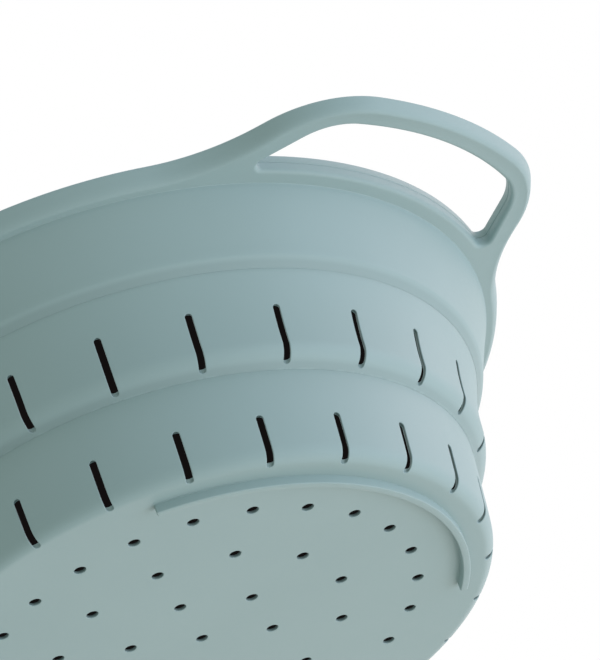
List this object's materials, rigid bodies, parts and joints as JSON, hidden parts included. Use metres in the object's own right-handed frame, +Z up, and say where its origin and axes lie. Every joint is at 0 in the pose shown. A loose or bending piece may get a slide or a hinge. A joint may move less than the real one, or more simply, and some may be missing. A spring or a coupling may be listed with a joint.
{
  "type": "collapsible colander",
  "caption": "Round collapsible colander with two loop handles, slotted fold-down bands and a perforated base on foot ribs.",
  "frame": {"origin": "centre of the bowl at the underside of the foot ribs, where the colander stands", "axes": "+Z up the bowl's axis, +X through one handle"},
  "size_m": [0.2966, 0.24, 0.0867],
  "materials": {
    "frame_plastic": "matt sage green moulded plastic",
    "cover_rubber": "matt sage green silicone rubber",
    "upper_rubber": "matt sage green silicone rubber",
    "upper_web": "matt sage green silicone rubber",
    "middle_rubber": "matt sage green silicone rubber",
    "lower_web": "matt sage green silicone rubber",
    "cup_rubber": "matt sage green silicone rubber"
  },
  "bodies": {
    "base": {"lower_cup": "cup_rubber", "lower_hinge": "lower_web"},
    "middle": {"middle_band": "middle_rubber"},
    "rim": {"rim_frame": "frame_plastic", "rim_cover": "cover_rubber", "upper_band": "upper_rubber", "upper_hinge": "upper_web"}
  },
  "joints": [
    {"name": "collapse", "type": "slide", "parent": "base", "child": "rim", "axis": [0, 0, -1], "range_m": [0, 0.056], "deforming": ["upper_hinge"]},
    {"name": "middle_fold", "type": "slide", "parent": "base", "child": "middle", "axis": [0, 0, -1], "range_m": [0, 0.028], "deforming": ["lower_hinge"]}
  ],
  "couplings": [
    {"joint": "middle_fold", "follows": "collapse", "ratio": 0.5}
  ]
}
